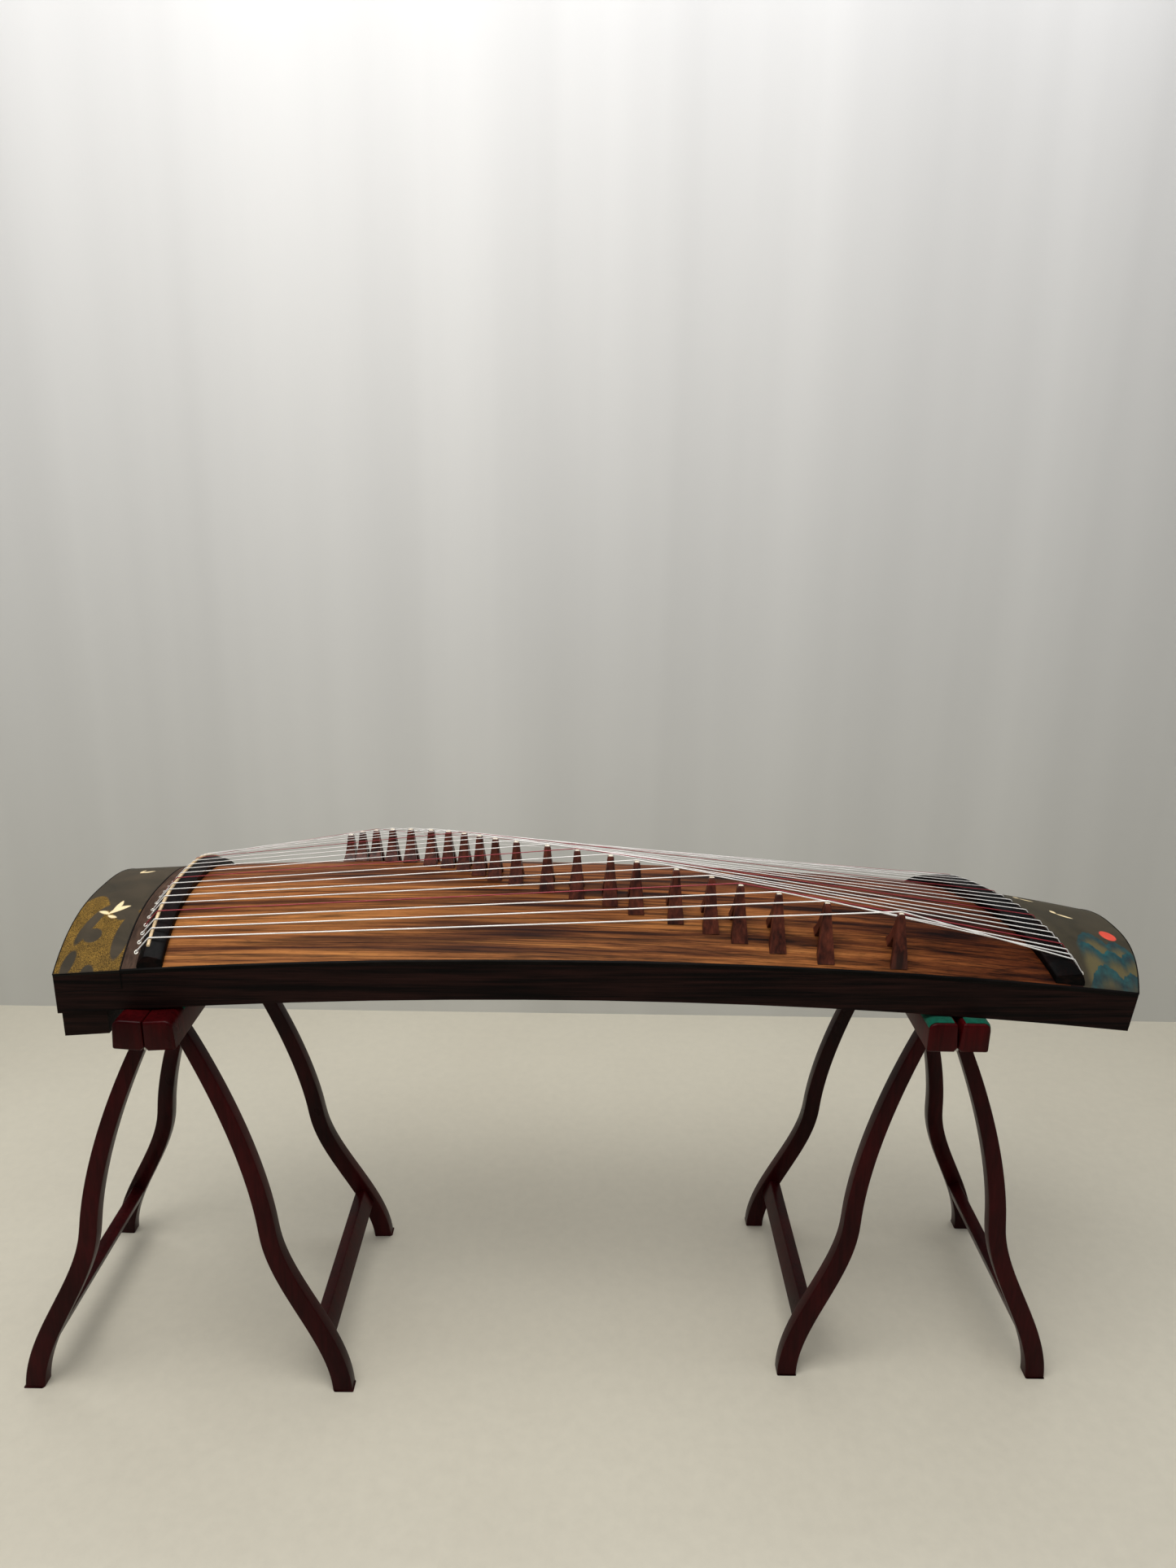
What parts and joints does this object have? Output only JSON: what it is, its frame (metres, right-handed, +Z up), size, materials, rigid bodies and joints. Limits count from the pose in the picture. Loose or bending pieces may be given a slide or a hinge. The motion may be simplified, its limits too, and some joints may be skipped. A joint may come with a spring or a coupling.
{
  "type": "zither on folding trestles",
  "caption": "Long arched zither with movable bridges, tuning pins under a hinged head lid and a slanted tail nut, laid across two folding wooden trestles.",
  "frame": {"origin": "the middle of the whole set in plan, on the floor", "axes": "+X from the head, where the strings are tuned, to the tail; +Y from the front, low-string side, to the back; +Z up"},
  "size_m": [1.7918, 0.4884, 0.9164],
  "materials": {
    "soundboard": "scorched paulownia, satin",
    "case_wood": "dark rosewood, satin lacquer",
    "bare_wood": "unfinished",
    "painted_panel": "dark painted panel, matt",
    "deck_wood": "dark brown, satin",
    "ebony": "black, polished",
    "bone": "bone strip, satin",
    "bridge_wood": "rosewood, satin",
    "stand_wood": "dark red lacquer, gloss",
    "string": "wound steel string",
    "steel": "steel pin"
  },
  "bodies": {
    "trestle_pins": {"head_stand_hinge_pin": "steel", "tail_stand_hinge_pin": "steel"},
    "instrument": {"soundboard": "soundboard", "front_side_panel": "case_wood", "rear_side_panel": "case_wood", "bottom_board": "bare_wood", "pin_block": "case_wood", "head_deck": "deck_wood", "head_nut": "ebony", "head_nut_bone": "bone", "tail_nut": "ebony", "tail_block": "painted_panel", "string_set": "string"},
    "head_lid": {"head_lid": "painted_panel"},
    "head_stand_left": {"head_stand_left_frame": "stand_wood"},
    "head_stand_right": {"head_stand_right_frame": "stand_wood"},
    "tail_stand_left": {"tail_stand_left_frame": "stand_wood"},
    "tail_stand_right": {"tail_stand_right_frame": "stand_wood"},
    "bridge_01": {"bridge_01": "bridge_wood"},
    "bridge_02": {"bridge_02": "bridge_wood"},
    "bridge_03": {"bridge_03": "bridge_wood"},
    "bridge_04": {"bridge_04": "bridge_wood"},
    "bridge_05": {"bridge_05": "bridge_wood"},
    "bridge_06": {"bridge_06": "bridge_wood"},
    "bridge_07": {"bridge_07": "bridge_wood"},
    "bridge_08": {"bridge_08": "bridge_wood"},
    "bridge_09": {"bridge_09": "bridge_wood"},
    "bridge_10": {"bridge_10": "bridge_wood"},
    "bridge_11": {"bridge_11": "bridge_wood"},
    "bridge_12": {"bridge_12": "bridge_wood"},
    "bridge_13": {"bridge_13": "bridge_wood"},
    "bridge_14": {"bridge_14": "bridge_wood"},
    "bridge_15": {"bridge_15": "bridge_wood"},
    "bridge_16": {"bridge_16": "bridge_wood"},
    "bridge_17": {"bridge_17": "bridge_wood"},
    "bridge_18": {"bridge_18": "bridge_wood"},
    "bridge_19": {"bridge_19": "bridge_wood"},
    "bridge_20": {"bridge_20": "bridge_wood"},
    "bridge_21": {"bridge_21": "bridge_wood"},
    "tuning_pin_01": {"tuning_pin_01": "steel"},
    "tuning_pin_02": {"tuning_pin_02": "steel"},
    "tuning_pin_03": {"tuning_pin_03": "steel"},
    "tuning_pin_04": {"tuning_pin_04": "steel"},
    "tuning_pin_05": {"tuning_pin_05": "steel"},
    "tuning_pin_06": {"tuning_pin_06": "steel"},
    "tuning_pin_07": {"tuning_pin_07": "steel"},
    "tuning_pin_08": {"tuning_pin_08": "steel"},
    "tuning_pin_09": {"tuning_pin_09": "steel"},
    "tuning_pin_10": {"tuning_pin_10": "steel"},
    "tuning_pin_11": {"tuning_pin_11": "steel"},
    "tuning_pin_12": {"tuning_pin_12": "steel"},
    "tuning_pin_13": {"tuning_pin_13": "steel"},
    "tuning_pin_14": {"tuning_pin_14": "steel"},
    "tuning_pin_15": {"tuning_pin_15": "steel"},
    "tuning_pin_16": {"tuning_pin_16": "steel"},
    "tuning_pin_17": {"tuning_pin_17": "steel"},
    "tuning_pin_18": {"tuning_pin_18": "steel"},
    "tuning_pin_19": {"tuning_pin_19": "steel"},
    "tuning_pin_20": {"tuning_pin_20": "steel"},
    "tuning_pin_21": {"tuning_pin_21": "steel"}
  },
  "joints": [
    {"name": "a_lift_instrument", "type": "slide", "parent": "trestle_pins", "child": "instrument", "axis": [0, 0, 1], "range_m": [0, 0.12]},
    {"name": "head_lid_hinge", "type": "hinge", "parent": "instrument", "child": "head_lid", "pos_m": [-0.76007, -0.01925, 0.7271], "axis": [0, -1, 0], "range_deg": [0, 100]},
    {"name": "fold_head_stand", "type": "hinge", "parent": "trestle_pins", "child": "head_stand_left", "pos_m": [-0.62357, -0.01925, 0.6502], "axis": [0, -1, 0], "range_deg": [0, 19]},
    {"name": "fold_head_stand_right", "type": "hinge", "parent": "trestle_pins", "child": "head_stand_right", "pos_m": [-0.62357, -0.01925, 0.6502], "axis": [0, -1, 0], "range_deg": [-19, 0]},
    {"name": "fold_tail_stand", "type": "hinge", "parent": "trestle_pins", "child": "tail_stand_left", "pos_m": [0.59543, -0.01925, 0.6411], "axis": [0, -1, 0], "range_deg": [0, 15.5]},
    {"name": "fold_tail_stand_right", "type": "hinge", "parent": "trestle_pins", "child": "tail_stand_right", "pos_m": [0.59543, -0.01925, 0.6411], "axis": [0, -1, 0], "range_deg": [-15.5, 0]},
    {"name": "slide_bridge_01", "type": "slide", "parent": "instrument", "child": "bridge_01", "axis": [0.9998, 0, 0.0212], "range_m": [-0.012, 0.0018], "deforming": ["string_set"]},
    {"name": "slide_bridge_02", "type": "slide", "parent": "instrument", "child": "bridge_02", "axis": [0.9997, 0, 0.0226], "range_m": [-0.0018, 0.0045], "deforming": ["string_set"]},
    {"name": "slide_bridge_03", "type": "slide", "parent": "instrument", "child": "bridge_03", "axis": [0.9997, 0, 0.0231], "range_m": [-0.0045, 0.0083], "deforming": ["string_set"]},
    {"name": "slide_bridge_04", "type": "slide", "parent": "instrument", "child": "bridge_04", "axis": [0.9997, 0, 0.0227], "range_m": [-0.0083, 0.011], "deforming": ["string_set"]},
    {"name": "slide_bridge_05", "type": "slide", "parent": "instrument", "child": "bridge_05", "axis": [0.9998, 0, 0.0213], "range_m": [-0.011, 0.012], "deforming": ["string_set"]},
    {"name": "slide_bridge_06", "type": "slide", "parent": "instrument", "child": "bridge_06", "axis": [0.9998, 0, 0.0191], "range_m": [-0.012, 0.0075], "deforming": ["string_set"]},
    {"name": "slide_bridge_07", "type": "slide", "parent": "instrument", "child": "bridge_07", "axis": [0.9999, 0, 0.0169], "range_m": [-0.0075, 0.0043], "deforming": ["string_set"]},
    {"name": "slide_bridge_08", "type": "slide", "parent": "instrument", "child": "bridge_08", "axis": [0.9999, 0, 0.0145], "range_m": [-0.0043, 0.003], "deforming": ["string_set"]},
    {"name": "slide_bridge_09", "type": "slide", "parent": "instrument", "child": "bridge_09", "axis": [0.9999, 0, 0.0118], "range_m": [-0.003, 0.0028], "deforming": ["string_set"]},
    {"name": "slide_bridge_10", "type": "slide", "parent": "instrument", "child": "bridge_10", "axis": [1, 0, 0.0089], "range_m": [-0.0028, 0.0105], "deforming": ["string_set"]},
    {"name": "slide_bridge_11", "type": "slide", "parent": "instrument", "child": "bridge_11", "axis": [1, 0, 0.0049], "range_m": [-0.0105, 0.012], "deforming": ["string_set"]},
    {"name": "slide_bridge_12", "type": "slide", "parent": "instrument", "child": "bridge_12", "axis": [1, 0, -0.0011], "range_m": [-0.012, 0.012], "deforming": ["string_set"]},
    {"name": "slide_bridge_13", "type": "slide", "parent": "instrument", "child": "bridge_13", "axis": [1, 0, -0.0071], "range_m": [-0.012, 0.012], "deforming": ["string_set"]},
    {"name": "slide_bridge_14", "type": "slide", "parent": "instrument", "child": "bridge_14", "axis": [0.9999, 0, -0.0143], "range_m": [-0.012, 0.012], "deforming": ["string_set"]},
    {"name": "slide_bridge_15", "type": "slide", "parent": "instrument", "child": "bridge_15", "axis": [0.9998, 0, -0.0206], "range_m": [-0.012, 0.012], "deforming": ["string_set"]},
    {"name": "slide_bridge_16", "type": "slide", "parent": "instrument", "child": "bridge_16", "axis": [0.9996, 0, -0.0296], "range_m": [-0.012, 0.012], "deforming": ["string_set"]},
    {"name": "slide_bridge_17", "type": "slide", "parent": "instrument", "child": "bridge_17", "axis": [0.9993, 0, -0.0382], "range_m": [-0.012, 0.012], "deforming": ["string_set"]},
    {"name": "slide_bridge_18", "type": "slide", "parent": "instrument", "child": "bridge_18", "axis": [0.9989, 0, -0.0459], "range_m": [-0.012, 0.012], "deforming": ["string_set"]},
    {"name": "slide_bridge_19", "type": "slide", "parent": "instrument", "child": "bridge_19", "axis": [0.9985, 0, -0.0555], "range_m": [-0.012, 0.012], "deforming": ["string_set"]},
    {"name": "slide_bridge_20", "type": "slide", "parent": "instrument", "child": "bridge_20", "axis": [0.9978, 0, -0.0669], "range_m": [-0.012, 0.012], "deforming": ["string_set"]},
    {"name": "slide_bridge_21", "type": "slide", "parent": "instrument", "child": "bridge_21", "axis": [0.9964, 0, -0.0846], "range_m": [-0.012, 0.012], "deforming": ["string_set"]},
    {"name": "turn_pin_01", "type": "hinge", "parent": "instrument", "child": "tuning_pin_01", "pos_m": [-0.68907, 0.14325, 0.73179], "axis": [0, 0, 1], "continuous": true},
    {"name": "turn_pin_02", "type": "hinge", "parent": "instrument", "child": "tuning_pin_02", "pos_m": [-0.71307, 0.12935, 0.73016], "axis": [0, 0, 1], "continuous": true},
    {"name": "turn_pin_03", "type": "hinge", "parent": "instrument", "child": "tuning_pin_03", "pos_m": [-0.73707, 0.11519, 0.72848], "axis": [0, 0, 1], "continuous": true},
    {"name": "turn_pin_04", "type": "hinge", "parent": "instrument", "child": "tuning_pin_04", "pos_m": [-0.68907, 0.10055, 0.73179], "axis": [0, 0, 1], "continuous": true},
    {"name": "turn_pin_05", "type": "hinge", "parent": "instrument", "child": "tuning_pin_05", "pos_m": [-0.71307, 0.08524, 0.73016], "axis": [0, 0, 1], "continuous": true},
    {"name": "turn_pin_06", "type": "hinge", "parent": "instrument", "child": "tuning_pin_06", "pos_m": [-0.73707, 0.06915, 0.72848], "axis": [0, 0, 1], "continuous": true},
    {"name": "turn_pin_07", "type": "hinge", "parent": "instrument", "child": "tuning_pin_07", "pos_m": [-0.68907, 0.05224, 0.73179], "axis": [0, 0, 1], "continuous": true},
    {"name": "turn_pin_08", "type": "hinge", "parent": "instrument", "child": "tuning_pin_08", "pos_m": [-0.71307, 0.03455, 0.73016], "axis": [0, 0, 1], "continuous": true},
    {"name": "turn_pin_09", "type": "hinge", "parent": "instrument", "child": "tuning_pin_09", "pos_m": [-0.73707, 0.01619, 0.72848], "axis": [0, 0, 1], "continuous": true},
    {"name": "turn_pin_10", "type": "hinge", "parent": "instrument", "child": "tuning_pin_10", "pos_m": [-0.68907, -0.00265, 0.73179], "axis": [0, 0, 1], "continuous": true},
    {"name": "turn_pin_11", "type": "hinge", "parent": "instrument", "child": "tuning_pin_11", "pos_m": [-0.71307, -0.02175, 0.73016], "axis": [0, 0, 1], "continuous": true},
    {"name": "turn_pin_12", "type": "hinge", "parent": "instrument", "child": "tuning_pin_12", "pos_m": [-0.73707, -0.04085, 0.72848], "axis": [0, 0, 1], "continuous": true},
    {"name": "turn_pin_13", "type": "hinge", "parent": "instrument", "child": "tuning_pin_13", "pos_m": [-0.68907, -0.05969, 0.73179], "axis": [0, 0, 1], "continuous": true},
    {"name": "turn_pin_14", "type": "hinge", "parent": "instrument", "child": "tuning_pin_14", "pos_m": [-0.71307, -0.07805, 0.73016], "axis": [0, 0, 1], "continuous": true},
    {"name": "turn_pin_15", "type": "hinge", "parent": "instrument", "child": "tuning_pin_15", "pos_m": [-0.73707, -0.09574, 0.72848], "axis": [0, 0, 1], "continuous": true},
    {"name": "turn_pin_16", "type": "hinge", "parent": "instrument", "child": "tuning_pin_16", "pos_m": [-0.68907, -0.11265, 0.73179], "axis": [0, 0, 1], "continuous": true},
    {"name": "turn_pin_17", "type": "hinge", "parent": "instrument", "child": "tuning_pin_17", "pos_m": [-0.71307, -0.12874, 0.73016], "axis": [0, 0, 1], "continuous": true},
    {"name": "turn_pin_18", "type": "hinge", "parent": "instrument", "child": "tuning_pin_18", "pos_m": [-0.73707, -0.14405, 0.72848], "axis": [0, 0, 1], "continuous": true},
    {"name": "turn_pin_19", "type": "hinge", "parent": "instrument", "child": "tuning_pin_19", "pos_m": [-0.68907, -0.15869, 0.73179], "axis": [0, 0, 1], "continuous": true},
    {"name": "turn_pin_20", "type": "hinge", "parent": "instrument", "child": "tuning_pin_20", "pos_m": [-0.71307, -0.17285, 0.73016], "axis": [0, 0, 1], "continuous": true},
    {"name": "turn_pin_21", "type": "hinge", "parent": "instrument", "child": "tuning_pin_21", "pos_m": [-0.73707, -0.18675, 0.72848], "axis": [0, 0, 1], "continuous": true}
  ],
  "couplings": [
    {"joint": "fold_head_stand_right", "follows": "fold_head_stand", "ratio": -1},
    {"joint": "fold_tail_stand_right", "follows": "fold_tail_stand", "ratio": -1}
  ]
}
